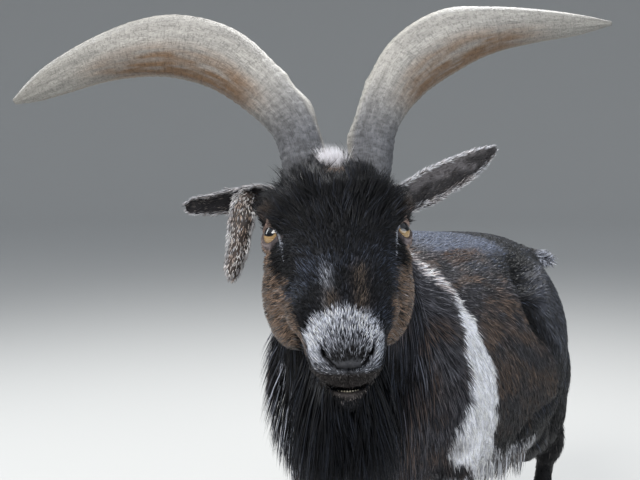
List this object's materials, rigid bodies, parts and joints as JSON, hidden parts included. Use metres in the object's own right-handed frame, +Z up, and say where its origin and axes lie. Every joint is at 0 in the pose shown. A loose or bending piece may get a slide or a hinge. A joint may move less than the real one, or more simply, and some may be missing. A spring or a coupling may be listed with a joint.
{
  "type": "pygmy goat",
  "caption": "Life-size pygmy goat standing with its head turned, with long spreading horns, a torn ear, a shaggy neck and a tail held out to one side.",
  "frame": {"origin": "on the floor, under the middle of the whole goat's bounding box", "axes": "+Z up, the goat faces -Y, its own left side is +X"},
  "size_m": [0.5188, 0.9192, 0.7279],
  "materials": {
    "head_coat": "short black and brown hair",
    "neck_coat": "long black hair",
    "body_coat": "black, brown and white hair",
    "tail_coat": "black hair with a pale tip",
    "leg_coat": "short black hair",
    "hoof": "dark satin horn",
    "ear_coat": "short grey brown hair",
    "eye": "wet gloss",
    "horn": "ringed grey horn",
    "tooth": "smooth ivory"
  },
  "bodies": {
    "root": {"head": "head_coat", "neck": "neck_coat", "torso": "body_coat", "tail": "tail_coat", "foreleg_left": "leg_coat", "foreleg_right": "leg_coat", "hindleg_left": "leg_coat", "hindleg_right": "leg_coat", "hoof_fore_left_outer": "hoof", "hoof_fore_left_inner": "hoof", "hoof_fore_right_outer": "hoof", "hoof_fore_right_inner": "hoof", "hoof_hind_left_outer": "hoof", "hoof_hind_left_inner": "hoof", "hoof_hind_right_outer": "hoof", "hoof_hind_right_inner": "hoof", "ear_left": "ear_coat", "ear_right": "ear_coat", "eye_left": "eye", "eye_right": "eye", "horn_left": "horn", "horn_right": "horn", "teeth": "tooth"}
  },
  "joints": []
}
